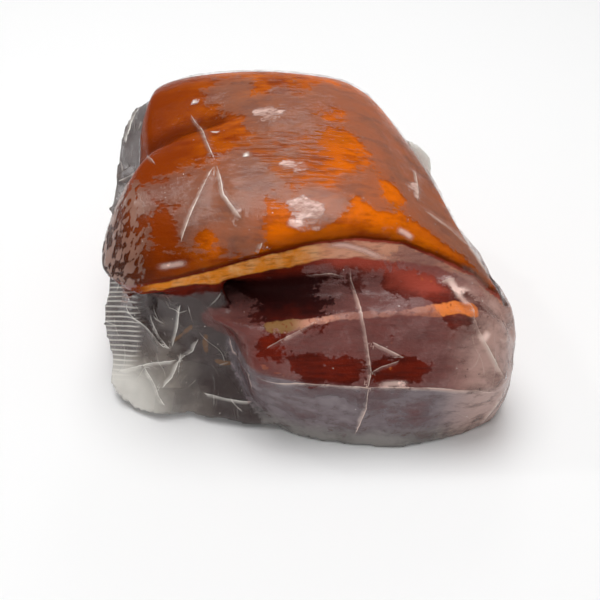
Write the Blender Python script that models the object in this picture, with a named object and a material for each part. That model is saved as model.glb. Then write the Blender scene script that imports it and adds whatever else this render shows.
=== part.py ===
"""A smoked pork knuckle, vacuum-sealed in a clear film bag, as one solid.

The film is sucked onto the meat, so the bag and what it holds share one outer form: a domed rind
on top that ends in an overhanging lip, a lean cut face with a ledge in front, and the loose edges
of the bag that stand off the meat as thin wavy sheets. Lengths are in metres, +Z is up, the cut
face looks along -Y, and the origin is on the table under the middle of the pack.
"""

import math

import bmesh
import bpy
import numpy as np
from mathutils import Matrix

# Driving dimensions.
BODY_LEFT = -0.078  # tip of the rind lobe that hangs over on the left
BODY_RIGHT = 0.080  # right end of the cut face
SLICES = 64  # sections along the length
END_CROWDING = 0.45  # how much closer the sections are at the ends: 0 is even
LEFT_CAP = 0.013  # over this length the left end closes to its tip
RIGHT_CAP = 0.009
LEFT_CAP_POWER = 0.62  # 0.5 would close it round, 1 to a point
LEFT_TIP = (-0.020, 0.057)  # y and z of the point where the left end closes
RIGHT_TIP = (-0.040, 0.026)
BROW_POWER = 2.3  # of the superellipse from the lip to the crown: 2 is round, more is boxier

# Edges that run from left to right along the cut face, each as (x, y, z) where it bends. They are laid out
# from a point near the middle of the meat; main moves the whole to the origin at the end.
FOOT_EDGE = (
    (-0.078, -0.008, 0.0), (-0.040, -0.018, 0.0), (-0.027, -0.036, 0.0), (-0.014, -0.051, 0.0),
    (0.006, -0.060, 0.0), (0.034, -0.063, 0.0), (0.056, -0.057, 0.0), (0.081, -0.042, 0.0),
)
TOE_EDGE = (
    (-0.078, -0.012, 0.030), (-0.037, -0.020, 0.034), (-0.021, -0.061, 0.039),
    (0.004, -0.063, 0.035), (0.044, -0.063, 0.033), (0.070, -0.059, 0.031), (0.081, -0.048, 0.028),
)
LEDGE_EDGE = (
    (-0.078, -0.012, 0.044), (-0.046, -0.020, 0.044), (-0.036, -0.047, 0.050),
    (-0.010, -0.050, 0.053), (0.033, -0.050, 0.0595), (0.060, -0.049, 0.059), (0.081, -0.045, 0.036),
)
GAP_EDGE = (
    (-0.078, -0.012, 0.051), (-0.044, -0.014, 0.049), (-0.020, -0.028, 0.053),
    (0.012, -0.036, 0.058), (0.040, -0.041, 0.062), (0.060, -0.044, 0.0585), (0.081, -0.043, 0.038),
)
LIP_EDGE = (
    (-0.078, -0.036, 0.061), (-0.053, -0.040, 0.068), (-0.026, -0.038, 0.0755), (0.000, -0.0355, 0.0815),
    (0.016, -0.035, 0.0835), (0.034, -0.035, 0.0815), (0.060, -0.038, 0.0695), (0.073, -0.0395, 0.0575),
    (0.081, -0.041, 0.0465),
)

# Under the lip, the cut edge of the rind steps in to a band of fat. Each as (inwards, down) from the lip.
RIND_CUT = (0.0030, 0.0034)
FAT_TOP = (0.0022, 0.0050)
FAT_FOOT = (0.0018, 0.0100)
BAND_SHARE = 0.65  # the band takes at most this much of the drop from the lip to the gap

# The rind over the top: (x, height of the crown), (x, its y), (x, y of the back) and (x, power of the
# superellipse).
CROWN_Z = (
    (-0.078, 0.088), (-0.050, 0.098), (-0.020, 0.1005), (0.010, 0.098), (0.024, 0.0945), (0.045, 0.0805),
    (0.053, 0.0755), (0.0575, 0.0720), (0.0625, 0.0683), (0.073, 0.0582), (0.081, 0.0475),
)
CROWN_Y = (
    (-0.078, 0.030), (0.010, 0.032), (0.040, 0.020), (0.048, 0.010), (0.053, 0.000), (0.0575, -0.0135),
    (0.0625, -0.0240), (0.067, -0.0325), (0.073, -0.0385), (0.081, -0.0405),
)
BACK_Y = (
    (-0.078, 0.074), (-0.070, 0.090), (-0.056, 0.101), (-0.036, 0.103), (0.010, 0.102), (0.030, 0.090),
    (0.042, 0.068), (0.048, 0.053), (0.053, 0.036), (0.0575, 0.021), (0.0625, 0.008), (0.067, -0.002),
    (0.073, -0.0125), (0.081, -0.026),
)
DOME_POWER = ((-0.078, 3.4), (0.020, 3.0), (0.050, 2.2), (0.058, 1.9), (0.081, 1.8))
HEEL_RADIUS = 0.009  # rounds the back into the underside

# The fold across the rind on the left, between the two lobes, and the notch that it leaves in the left side.
FOLD_Y = 0.024  # at the left end
FOLD_SLANT = 0.16  # how far back the fold runs for each metre to the right
FOLD_DEPTH = 0.015
FOLD_WIDTH = 0.0072
FOLD_END_X = -0.034
FOLD_FADE = 0.007  # length over which it dies out
NOTCH_Y = 0.022
NOTCH_DEPTH = 0.012
NOTCH_WIDTH = 0.015
NOTCH_REACH = 0.030

# Points between one edge and the next, from the foot round to the foot again.
TOE_STEPS, LEDGE_STEPS, GAP_STEPS, FAT_STEPS = 6, 6, 3, 4
BROW_STEPS, BACK_STEPS, HEEL_STEPS, FLOOR_STEPS = 14, 15, 4, 6

FOOT_CUT = 0.0004  # the underside is cut level this far up
EASE_ABOVE = 0.003  # points higher than this are eased
EASE_ROUNDS = 2
EASE_SHARE = 0.35

# Loose edges of the bag. Each sheet runs from a root line inside the meat to its free edge.
SHEET_THICKNESS = 0.0024
SHEET_ACROSS = 8
SIDE_ROOT = (
    (-0.052, 0.070, 0.074), (-0.058, 0.056, 0.068), (-0.058, 0.028, 0.058), (-0.064, 0.002, 0.055),
    (-0.065, -0.026, 0.059), (-0.053, -0.0355, 0.0625), (-0.038, -0.0360, 0.0665), (-0.030, -0.037, 0.048),
    (-0.024, -0.042, 0.028), (-0.010, -0.046, 0.012),
)
SIDE_FREE = (
    (-0.060, 0.077, 0.083), (-0.073, 0.070, 0.080), (-0.0815, 0.057, 0.074), (-0.0845, 0.032, 0.056),
    (-0.0845, 0.000, 0.038), (-0.0855, -0.014, 0.024), (-0.0820, -0.030, 0.008), (-0.070, -0.0445, 0.0032),
    (-0.036, -0.0495, 0.0032), (-0.018, -0.0535, 0.0032), (-0.004, -0.052, 0.0060),
)
SIDE_STEPS = 46
SIDE_WAVES = 9
SIDE_WAVE_HEIGHT = 0.0015
SIDE_SAG = 0.006
CORNER_ROOT = (
    (0.030, 0.050, 0.064), (0.036, 0.052, 0.054), (0.038, 0.050, 0.046), (0.040, 0.044, 0.034),
    (0.042, 0.026, 0.012),
)
CORNER_FREE = (
    (0.038, 0.053, 0.073), (0.0495, 0.0565, 0.0655), (0.0552, 0.0560, 0.0585), (0.0550, 0.0535, 0.0480),
    (0.050, 0.030, 0.012),
)
CORNER_STEPS = 20
CORNER_WAVES = 3
CORNER_WAVE_HEIGHT = 0.0008
CORNER_SAG = 0.0

RIND_COLOUR = (0.42, 0.13, 0.03, 1.0)


def clear_scene():
    for thing in list(bpy.data.objects):
        bpy.data.objects.remove(thing, do_unlink=True)


def through(points, at):
    """Smooth values at the places `at`, through (place, value, ...) points, with no overshoot."""
    table = np.array(points, float)
    place, values = table[:, 0], table[:, 1:]
    step = np.diff(place)[:, None]
    slope = np.diff(values, axis=0) / step
    tangent = np.zeros_like(values)
    tangent[0], tangent[-1] = slope[0], slope[-1]
    product = slope[:-1] * slope[1:]
    total = slope[:-1] + slope[1:]
    safe = np.where(np.abs(total) > 1e-12, total, 1.0)
    tangent[1:-1] = np.where(product > 0, 2 * product / safe, 0.0)
    index = np.clip(np.searchsorted(place, at) - 1, 0, len(place) - 2)
    share = ((np.asarray(at) - place[index]) / step[index, 0])[:, None]
    width = step[index]
    return (
        values[index] * (1 + 2 * share) * (1 - share) ** 2
        + tangent[index] * width * share * (1 - share) ** 2
        + values[index + 1] * share**2 * (3 - 2 * share)
        + tangent[index + 1] * width * share**2 * (share - 1)
    )


def straight(start, end, steps):
    """Points from start up to, but not at, end."""
    return [start + (end - start) * i / steps for i in range(steps)]


def fold_drop(x, y):
    """How far the rind dips at x and y, where the fold crosses it."""
    reach = 1 / (1 + math.exp((x - FOLD_END_X) / FOLD_FADE))
    middle = FOLD_Y + FOLD_SLANT * (x - BODY_LEFT)
    return FOLD_DEPTH * reach * math.exp(-(((y - middle) / FOLD_WIDTH) ** 2))


def rind_arc(x, lip, crown, back_y, power):
    """Points over the rind: up from the lip to the crown, then down the back and round the heel."""
    points = []
    for i in range(BROW_STEPS):
        turn = math.pi / 2 * i / BROW_STEPS
        rise = math.sin(turn) ** (2 / BROW_POWER)
        run = 1 - math.cos(turn) ** (2 / BROW_POWER)
        points.append(np.array([lip[0] + (crown[0] - lip[0]) * run, lip[1] + (crown[1] - lip[1]) * rise]))
    for i in range(BACK_STEPS):
        turn = math.pi / 2 * i / BACK_STEPS
        run = math.sin(turn) ** (2 / power)
        height = math.cos(turn) ** (2 / power)
        points.append(
            np.array([crown[0] + (back_y - crown[0]) * run, HEEL_RADIUS + (crown[1] - HEEL_RADIUS) * height])
        )
    for i in range(HEEL_STEPS):
        turn = math.pi / 2 * i / HEEL_STEPS
        points.append(
            np.array([back_y - HEEL_RADIUS * (1 - math.cos(turn)), HEEL_RADIUS * (1 - math.sin(turn))])
        )
    for point in points:
        point[1] -= fold_drop(x, point[0])
    return points


def fat_band(lip, gap):
    """The foot and top of the fat and the cut of the rind, bottom first, scaled to the room there is."""
    room = min(1.0, BAND_SHARE * (lip[1] - gap[1]) / FAT_FOOT[1])
    return [lip + np.array([inwards, -down]) * room for inwards, down in (FAT_FOOT, FAT_TOP, RIND_CUT)]


def cap_share(x):
    """How much of its full size the section at x has, with the tip that it closes to."""
    if x < BODY_LEFT + LEFT_CAP:
        share = (x - BODY_LEFT) / LEFT_CAP
        return share**LEFT_CAP_POWER, LEFT_TIP
    if x > BODY_RIGHT - RIGHT_CAP:
        share = (BODY_RIGHT - x) / RIGHT_CAP
        return math.sqrt(1 - (1 - share) ** 2), RIGHT_TIP
    return 1.0, LEFT_TIP


def section(x):
    """The closed outline of the meat at x, as (y, z) points."""
    foot, toe, ledge, gap, lip = (
        through(edge, [x])[0] for edge in (FOOT_EDGE, TOE_EDGE, LEDGE_EDGE, GAP_EDGE, LIP_EDGE)
    )
    crown_y, crown_z, back_y, power = (
        through(line, [x])[0][0] for line in (CROWN_Y, CROWN_Z, BACK_Y, DOME_POWER)
    )
    band = fat_band(lip, gap)
    outline = (
        straight(foot, toe, TOE_STEPS)
        + straight(toe, ledge, LEDGE_STEPS)
        + straight(ledge, gap, GAP_STEPS)
        + straight(gap, band[0], FAT_STEPS)
        + band
        + rind_arc(x, lip, (crown_y, crown_z), back_y, power)
        + straight(np.array([back_y - HEEL_RADIUS, 0.0]), foot, FLOOR_STEPS)
    )
    share, tip = cap_share(x)
    return [np.array(tip) + (point - np.array(tip)) * share for point in outline]


def slice_places():
    """Where the sections are: closer together at both ends, which curve the most."""
    middle = (BODY_LEFT + BODY_RIGHT) / 2
    half = (BODY_RIGHT - BODY_LEFT) / 2
    places = []
    for i in range(1, SLICES):
        share = 2 * i / SLICES - 1
        eased = END_CROWDING * math.sin(share * math.pi / 2) + (1 - END_CROWDING) * share
        places.append(middle + half * eased)
    return places


def new_object(name, mesh_maker):
    mesh = bpy.data.meshes.new(name)
    shape = bmesh.new()
    mesh_maker(shape)
    bmesh.ops.recalc_face_normals(shape, faces=shape.faces)
    shape.to_mesh(mesh)
    shape.free()
    thing = bpy.data.objects.new(name, mesh)
    bpy.context.scene.collection.objects.link(thing)
    return thing


def notched(x, y):
    """x, moved inwards where the fold meets the left side."""
    near_end = max(0.0, 1 - (x - BODY_LEFT) / NOTCH_REACH)
    return x + NOTCH_DEPTH * near_end * math.exp(-(((y - NOTCH_Y) / NOTCH_WIDTH) ** 2))


def loft_body(shape):
    """Skins the sections, closes both ends on a point, and eases the edges that the rails leave."""
    rings = [
        [shape.verts.new((notched(x, y), y, z)) for y, z in section(x)] for x in slice_places()
    ]
    for left, right in zip(rings, rings[1:]):
        for i in range(len(left)):
            j = (i + 1) % len(left)
            shape.faces.new((left[i], left[j], right[j], right[i]))
    for ring, x, tip in ((rings[0], BODY_LEFT, LEFT_TIP), (rings[-1], BODY_RIGHT, RIGHT_TIP)):
        end = shape.verts.new((x, *tip))
        for i in range(len(ring)):
            shape.faces.new((ring[i], ring[(i + 1) % len(ring)], end))
    raised = [vertex for vertex in shape.verts if vertex.co.z > EASE_ABOVE]
    for _ in range(EASE_ROUNDS):
        bmesh.ops.smooth_vert(
            shape, verts=raised, factor=EASE_SHARE, use_axis_x=True, use_axis_y=True, use_axis_z=True
        )


def along(points, steps):
    """Evenly shared places on the smooth line through 3-D points."""
    line = np.array(points, float)
    run = np.concatenate([[0], np.cumsum(np.linalg.norm(np.diff(line, axis=0), axis=1))])
    table = np.column_stack([run / run[-1], line])
    return through(table, np.linspace(0, 1, steps + 1))


def sheet_maker(root, free, steps, waves, wave_height, sag):
    """A thin closed sheet between two lines, hollow across its middle and waved towards its free edge."""
    inner, outer = along(root, steps), along(free, steps)

    def make(shape):
        grid = np.empty((steps + 1, SHEET_ACROSS + 1, 3))
        for j in range(SHEET_ACROSS + 1):
            out = j / SHEET_ACROSS
            grid[:, j] = inner + (outer - inner) * out
        side = np.cross(np.gradient(grid, axis=0), np.gradient(grid, axis=1))
        side /= np.maximum(np.linalg.norm(side, axis=2, keepdims=True), 1e-9)
        sway = np.sin(np.linspace(0, 2 * math.pi * waves, steps + 1))[:, None]
        out = np.linspace(0, 1, SHEET_ACROSS + 1)[None, :]
        hollow = np.sin(math.pi * out) * np.sin(np.linspace(0, math.pi, steps + 1))[:, None]
        grid += side * (wave_height * sway * out + sag * hollow)[:, :, None]
        half = SHEET_THICKNESS / 2
        faces_of = []
        for offset in (half, -half):
            faces_of.append([[shape.verts.new(p) for p in row] for row in grid + side * offset])
        top, bottom = faces_of
        for i in range(steps):
            for j in range(SHEET_ACROSS):
                shape.faces.new((top[i][j], top[i + 1][j], top[i + 1][j + 1], top[i][j + 1]))
                shape.faces.new((bottom[i][j], bottom[i][j + 1], bottom[i + 1][j + 1], bottom[i + 1][j]))
        for j in (0, SHEET_ACROSS):
            for i in range(steps):
                shape.faces.new((top[i][j], bottom[i][j], bottom[i + 1][j], top[i + 1][j]))
        for i in (0, steps):
            for j in range(SHEET_ACROSS):
                shape.faces.new((top[i][j], top[i][j + 1], bottom[i][j + 1], bottom[i][j]))

    return make


def select_only(thing):
    bpy.context.view_layer.update()
    bpy.ops.object.select_all(action="DESELECT")
    thing.select_set(True)
    bpy.context.view_layer.objects.active = thing


def join_sheets(body, sheets):
    """One Boolean union of the body with the loose sheets, after which the sheets are removed."""
    together = bpy.data.collections.new("loose_sheets")
    bpy.context.scene.collection.children.link(together)
    for thing in sheets:
        bpy.context.scene.collection.objects.unlink(thing)
        together.objects.link(thing)
    union = body.modifiers.new("fused", "BOOLEAN")
    union.operation = "UNION"
    union.operand_type = "COLLECTION"
    union.collection = together
    select_only(body)
    bpy.ops.object.modifier_apply(modifier=union.name)
    for thing in sheets:
        bpy.data.objects.remove(thing, do_unlink=True)
    bpy.data.collections.remove(together)


def flatten_foot(body):
    """Cuts the underside level with the table, so that the pack has one true flat face."""
    shape = bmesh.new()
    shape.from_mesh(body.data)
    cut = bmesh.ops.bisect_plane(
        shape,
        geom=shape.verts[:] + shape.edges[:] + shape.faces[:],
        dist=1e-6,
        plane_co=(0, 0, FOOT_CUT),
        plane_no=(0, 0, -1),
        clear_outer=True,
    )
    rim = [piece for piece in cut["geom_cut"] if isinstance(piece, bmesh.types.BMEdge)]
    bmesh.ops.contextual_create(shape, geom=rim)
    bmesh.ops.recalc_face_normals(shape, faces=shape.faces)
    shape.to_mesh(body.data)
    shape.free()


def stand_on_origin(body):
    """Moves the mesh so that the middle of its underside's box is the origin."""
    corners = np.array([tuple(vertex.co) for vertex in body.data.vertices])
    low, high = corners.min(0), corners.max(0)
    middle = (low + high) / 2
    body.data.transform(Matrix.Translation((-middle[0], -middle[1], -low[2])))


def smoked_rind():
    material = bpy.data.materials.new("smoked_rind_under_film")
    material.use_nodes = True
    shader = material.node_tree.nodes["Principled BSDF"]
    shader.inputs["Base Color"].default_value = RIND_COLOUR
    shader.inputs["Roughness"].default_value = 0.3
    shader.inputs["Metallic"].default_value = 0.0
    return material


def main():
    clear_scene()
    body = new_object("sealed_knuckle", loft_body)
    sheets = [
        new_object(
            "side_sheet",
            sheet_maker(SIDE_ROOT, SIDE_FREE, SIDE_STEPS, SIDE_WAVES, SIDE_WAVE_HEIGHT, SIDE_SAG),
        ),
        new_object(
            "corner_sheet",
            sheet_maker(CORNER_ROOT, CORNER_FREE, CORNER_STEPS, CORNER_WAVES, CORNER_WAVE_HEIGHT, CORNER_SAG),
        ),
    ]
    join_sheets(body, sheets)
    flatten_foot(body)
    stand_on_origin(body)
    body.data.materials.append(smoked_rind())
    body.data.shade_smooth()
    body.data.set_sharp_from_angle(angle=math.radians(50))


main()
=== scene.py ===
# %% [markdown]
# # A smoked pork knuckle sealed in a clear bag
#
# The real thing is a piece of smoked meat on the bone. Its rind is brown and domed, its cut face is
# dark and lean, and a clear film bag has been sucked tight onto it. Three things make the look: the
# meat, the film that veils it wherever a little air stays under it, and the stiff pale creases where
# the film had too much length.
#
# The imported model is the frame. It is one closed solid with the outer form of the pack, loose bag
# edges included. Everything here starts from that form, so nothing has to be fitted to it later.

# %% Load the frame
import math

import bmesh
import bpy
import numpy as np
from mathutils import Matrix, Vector
from mathutils.bvhtree import BVHTree


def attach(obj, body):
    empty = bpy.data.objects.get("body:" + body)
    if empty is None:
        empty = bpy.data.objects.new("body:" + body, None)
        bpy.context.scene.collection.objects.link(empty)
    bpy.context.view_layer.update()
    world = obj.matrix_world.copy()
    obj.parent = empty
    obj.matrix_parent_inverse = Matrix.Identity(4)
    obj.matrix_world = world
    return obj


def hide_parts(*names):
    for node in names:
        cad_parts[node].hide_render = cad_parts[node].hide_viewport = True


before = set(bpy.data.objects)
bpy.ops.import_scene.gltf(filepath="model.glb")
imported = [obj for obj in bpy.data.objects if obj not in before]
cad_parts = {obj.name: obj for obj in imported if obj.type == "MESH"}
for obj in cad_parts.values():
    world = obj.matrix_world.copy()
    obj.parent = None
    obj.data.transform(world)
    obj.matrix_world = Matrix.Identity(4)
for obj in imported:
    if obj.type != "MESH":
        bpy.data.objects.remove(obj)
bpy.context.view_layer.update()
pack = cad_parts["sealed_knuckle"]
scene = bpy.context.scene

# %% [markdown]
# ## The camera
#
# The pack is looked down on from 40 degrees above the table, square to the cut face. A camera could
# be aimed with a Track To constraint, but two lines of trigonometry place it as well and leave no
# constraint behind.

# %% Place the camera
AIM = Vector((0.00027, -0.01992, 0.0236))
ELEVATION = math.radians(40)
DISTANCE = 0.43
LENS = 60


def add_camera(aim, elevation, distance, lens):
    """A camera in front of the cut face that looks down at aim."""
    place = aim + distance * Vector((0, -math.cos(elevation), math.sin(elevation)))
    bpy.ops.object.camera_add(location=place, rotation=(math.pi / 2 - elevation, 0, 0))
    camera = bpy.context.object
    camera.name = "camera"
    camera.data.lens = lens
    camera.data.clip_start = 0.01
    scene.camera = camera
    return camera


camera = add_camera(AIM, ELEVATION, DISTANCE, LENS)
print("the camera stands at", [round(c, 3) for c in camera.location])

# %% [markdown]
# ## The studio
#
# A white floor and soft light from above. The large lamp hangs over the pack and a little behind it,
# so that the shadow falls softly forwards. Two small lamps give the short white glints that film
# always has: a big lamp alone would leave it looking like wax.

# %% Build the floor and hang the lamps
FLOOR_SIZE = 6.0
FLOOR_GAP = 0.0003  # the floor lies this far under the pack
LAMPS = (
    # name, place, aim, size, watts
    ("roof_lamp", (-0.10, 0.16, 1.30), (0.0, 0.0, 0.0), 1.00, 12.0),
    ("back_lamp", (0.12, 1.00, 0.85), (0.0, 0.0, 0.06), 0.36, 0.8),
    ("brow_lamp", (0.05, -0.45, 1.10), (0.0, -0.02, 0.08), 0.20, 1.5),
    ("front_lamp", (0.10, -1.10, 0.42), (0.0, -0.04, 0.06), 0.10, 0.45),
    ("spark_lamp", (-0.55, 0.20, 0.75), (0.0, 0.0, 0.05), 0.06, 0.5),
)


def plain_surface(name, colour, roughness):
    material = bpy.data.materials.new(name)
    material.use_nodes = True
    shader = material.node_tree.nodes["Principled BSDF"]
    shader.inputs["Base Color"].default_value = (*colour, 1)
    shader.inputs["Roughness"].default_value = roughness
    shader.inputs["Specular IOR Level"].default_value = 0.2
    return material


def add_lamp(name, place, aim, size, watts):
    bpy.ops.object.light_add(type="AREA", location=place)
    lamp = bpy.context.object
    lamp.name = name
    lamp.data.shape = "DISK"
    lamp.data.size = size
    lamp.data.energy = watts
    towards = Vector(aim) - Vector(place)
    lamp.rotation_euler = towards.to_track_quat("-Z", "Y").to_euler()
    return lamp


bpy.ops.mesh.primitive_plane_add(size=FLOOR_SIZE, location=(0, 0, -FLOOR_GAP))
floor = bpy.context.object
floor.name = "floor"
floor.data.materials.append(plain_surface("white_table", (0.93, 0.93, 0.93), 0.8))
for lamp in LAMPS:
    add_lamp(*lamp)

world = bpy.data.worlds.new("white_room")
world.use_nodes = True
world.node_tree.nodes["Background"].inputs["Color"].default_value = (1, 1, 1, 1)
world.node_tree.nodes["Background"].inputs["Strength"].default_value = 0.30
scene.world = world
scene.view_settings.view_transform = "Standard"
print("hung", len(LAMPS), "lamps")

# %% [markdown]
# ## Helpers for shapes
#
# The meat and the film both begin as copies of the pack's mesh, which comes in as loose triangles. A
# copy is merged before anything else is done to it. A voxel remesh then gives it small even faces,
# which is what wrinkles and ridges need: triangles as large as those of the pack could not bend.


# %% Copy, remesh and measure a mesh
def select_only(thing):
    bpy.ops.object.select_all(action="DESELECT")
    thing.select_set(True)
    bpy.context.view_layer.objects.active = thing


def copy_of_pack(name):
    """The pack's own mesh in a new object, with its loose triangles merged."""
    thing = bpy.data.objects.new(name, pack.data.copy())
    scene.collection.objects.link(thing)
    thing.data.materials.clear()
    select_only(thing)
    bpy.ops.object.mode_set(mode="EDIT")
    bpy.ops.mesh.select_all(action="SELECT")
    bpy.ops.mesh.remove_doubles(threshold=1e-5)
    bpy.ops.mesh.customdata_custom_splitnormals_clear()
    bpy.ops.object.mode_set(mode="OBJECT")
    return thing


def apply_modifier(thing, kind, **settings):
    """Adds one modifier, sets it and applies it."""
    modifier = thing.modifiers.new(kind.lower(), kind)
    for key, value in settings.items():
        setattr(modifier, key, value)
    select_only(thing)
    bpy.ops.object.modifier_apply(modifier=modifier.name)


def remesh(thing, voxel):
    apply_modifier(thing, "REMESH", mode="VOXEL", voxel_size=voxel)


def points_of(thing):
    flat = np.empty(len(thing.data.vertices) * 3, dtype=np.float32)
    thing.data.vertices.foreach_get("co", flat)
    return flat.reshape(-1, 3).astype(float)


def normals_of(thing):
    flat = np.empty(len(thing.data.vertices) * 3, dtype=np.float32)
    thing.data.vertices.foreach_get("normal", flat)
    return flat.reshape(-1, 3).astype(float)


def move_points(thing, points):
    thing.data.vertices.foreach_set("co", points.astype(np.float32).ravel())
    thing.data.update()


def keep_number(thing, name, values):
    """Stores one number for each point, for the material to read."""
    layer = thing.data.attributes.new(name, "FLOAT", "POINT")
    layer.data.foreach_set("value", values.astype(np.float32))


def triangles(thing):
    return sum(len(face.vertices) - 2 for face in thing.data.polygons)


def inward_depth(thing, reach=0.2):
    """How much material lies straight under each point."""
    shape = bmesh.new()
    shape.from_mesh(thing.data)
    tree = BVHTree.FromBMesh(shape)
    shape.free()
    depths = np.full(len(thing.data.vertices), reach)
    step = 1e-4
    for i, vertex in enumerate(thing.data.vertices):
        hit = tree.ray_cast(vertex.co - vertex.normal * step, -vertex.normal, reach)
        if hit[0] is not None:
            depths[i] = hit[3]
    return depths


def away_from(points, line, normals=None):
    """Distance of each point from a line of straight stretches, and how far along it the near place is.

    With the normals of the surface, a third answer says which side of the line the point is on."""
    line = np.array(line, float)
    nearest = np.full(len(points), 1e9)
    along = np.zeros(len(points))
    side = np.ones(len(points))
    walked = 0.0
    for start, end in zip(line, line[1:]):
        run = end - start
        length = np.linalg.norm(run)
        share = np.clip((points - start) @ run / length**2, 0, 1)
        offset = points - start - share[:, None] * run
        gap = np.linalg.norm(offset, axis=1)
        closer = gap < nearest
        nearest[closer] = gap[closer]
        along[closer] = (walked + share * length)[closer]
        if normals is not None:
            side[closer] = np.sign((np.cross(run, normals) * offset).sum(1))[closer]
        walked += length
    if normals is None:
        return nearest, along / walked
    return nearest, along / walked, side


def fade(values, start, end):
    """0 up to start and 1 from end on, eased between; it falls where end is less than start."""
    share = np.clip((values - start) / (end - start), 0, 1)
    return share * share * (3 - 2 * share)


def near_lines(places, lines, width):
    """1 on any of the lines, fading out beside it and towards its ends."""
    shares = []
    for line in lines:
        gap, along = away_from(places, line)
        shares.append(fade(gap, *width) * fade(along, 0, 0.3) * fade(along, 1, 0.7))
    return np.max(shares, axis=0)


# %% [markdown]
# ## The meat
#
# Under the film lies the same form without the loose bag edges. It could be modelled afresh, but then
# it would poke through the film somewhere. So it is made from the pack: a point with only a few
# millimetres of material under it belongs to a loose edge. Those points are dropped onto the body
# with Shrinkwrap, a remesh fuses them into it, and the whole is drawn in by the thickness of the gap.
# Last, the left lobes are drawn out a few millimetres into the film that hangs beside them.

# %% Take the loose edges off a copy
SHEET_LIMIT = 0.0042  # thinner than this is film
SHEET_MARGIN = 2  # rings of points round it that go with it
MEAT_VOXEL = 0.0014
MEAT_INSET = 0.0006
LEFT_STRETCH = 0.0055  # how far the left lobes reach into the loose edge
STRETCHED_X = (-0.042, -0.070)  # where that begins and where it is full
STRETCHED_Z = (0.050, 0.062)


def edge_ends(thing):
    ends = np.empty(len(thing.data.edges) * 2, dtype=np.int32)
    thing.data.edges.foreach_get("vertices", ends)
    return ends.reshape(-1, 2)


def spread(thing, chosen, rings):
    """The chosen points and the rings of points round them."""
    ends = edge_ends(thing)
    chosen = chosen.copy()
    for _ in range(rings):
        touched = chosen[ends[:, 0]] | chosen[ends[:, 1]]
        chosen[ends[touched].ravel()] = True
    return chosen


def largest_island(thing, kept):
    """Of the kept points, those that hang together with the most others."""
    ends = edge_ends(thing)
    ends = ends[kept[ends[:, 0]] & kept[ends[:, 1]]]
    label = np.arange(len(kept))
    while True:
        low = np.minimum(label[ends[:, 0]], label[ends[:, 1]])
        before = label.copy()
        np.minimum.at(label, ends[:, 0], low)
        np.minimum.at(label, ends[:, 1], low)
        label = label[label]
        if np.array_equal(label, before):
            break
    names, sizes = np.unique(label[kept], return_counts=True)
    return kept & (label == names[np.argmax(sizes)])


def without_sheets(thing):
    """Lays the thin parts of thing flat onto the rest of it."""
    thin = spread(thing, inward_depth(thing) < SHEET_LIMIT, SHEET_MARGIN)
    loose = ~largest_island(thing, ~thin)
    indices = [int(i) for i in np.nonzero(loose)[0]]
    thing.vertex_groups.new(name="loose").add(indices, 1.0, "REPLACE")
    body = bpy.data.objects.new("body_only", thing.data.copy())
    scene.collection.objects.link(body)
    shape = bmesh.new()
    shape.from_mesh(body.data)
    shape.verts.ensure_lookup_table()
    bmesh.ops.delete(shape, geom=[shape.verts[i] for i in indices], context="VERTS")
    shape.to_mesh(body.data)
    shape.free()
    apply_modifier(thing, "SHRINKWRAP", target=body, wrap_method="NEAREST_SURFACEPOINT", vertex_group="loose")
    bpy.data.objects.remove(body)
    thing.vertex_groups.clear()
    return len(indices)


meat = copy_of_pack("rind_and_lean")
remesh(meat, MEAT_VOXEL)
dropped = without_sheets(meat)
remesh(meat, MEAT_VOXEL)
apply_modifier(meat, "SMOOTH", factor=0.5, iterations=3)
at = points_of(meat) - normals_of(meat) * MEAT_INSET
at[:, 0] -= LEFT_STRETCH * fade(at[:, 0], *STRETCHED_X) * fade(at[:, 2], *STRETCHED_Z)
move_points(meat, at)
print("laid", dropped, "film points onto the meat, which has", triangles(meat), "triangles")

# %% [markdown]
# ### Where the rind ends and the fat and lean begin
#
# The rind, the band of fat under it, the lean and the seam of fat along the ledge are one piece of
# meat, so they are one mesh with several colours. Each border follows an edge of the form. The
# height above or below that edge is kept on the points as a plain number. The material then turns
# the numbers into borders and frays them with noise, which stays far sharper than painted points.

# %% Measure the meat from its edges
LIP = (
    (-0.0790, 0.0590), (-0.0737, 0.0606), (-0.0487, 0.0676), (-0.0217, 0.0751), (0.0043, 0.0811),
    (0.0203, 0.0831), (0.0383, 0.0811), (0.0643, 0.0691), (0.0773, 0.0571), (0.0853, 0.0461),
)
LEDGE = ((-0.0320, 0.0490), (-0.0057, 0.0526), (0.0373, 0.0591), (0.0643, 0.0586), (0.0853, 0.0400))
SEAM = (
    (-0.0110, -0.0686, 0.0512), (-0.0042, -0.0689, 0.0524), (0.0059, -0.0682, 0.0544),
    (0.0152, -0.0680, 0.0562), (0.0373, -0.0688, 0.0587), (0.0484, -0.0681, 0.0592),
    (0.0578, -0.0669, 0.0592), (0.0640, -0.0658, 0.0580),
)
TOE = ((-0.0170, 0.0386), (0.0083, 0.0346), (0.0483, 0.0326), (0.0743, 0.0306), (0.0853, 0.0276))
FOLD = ((-0.083, 0.006, 0.084), (-0.060, 0.006, 0.085), (-0.046, 0.009, 0.090), (-0.036, 0.011, 0.095))
PITS = ((-0.0282, 0.0351, 0.0982), (-0.0240, 0.0350, 0.0986), (-0.0209, 0.0339, 0.0988))
PIT_RADIUS = 0.0022
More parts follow.
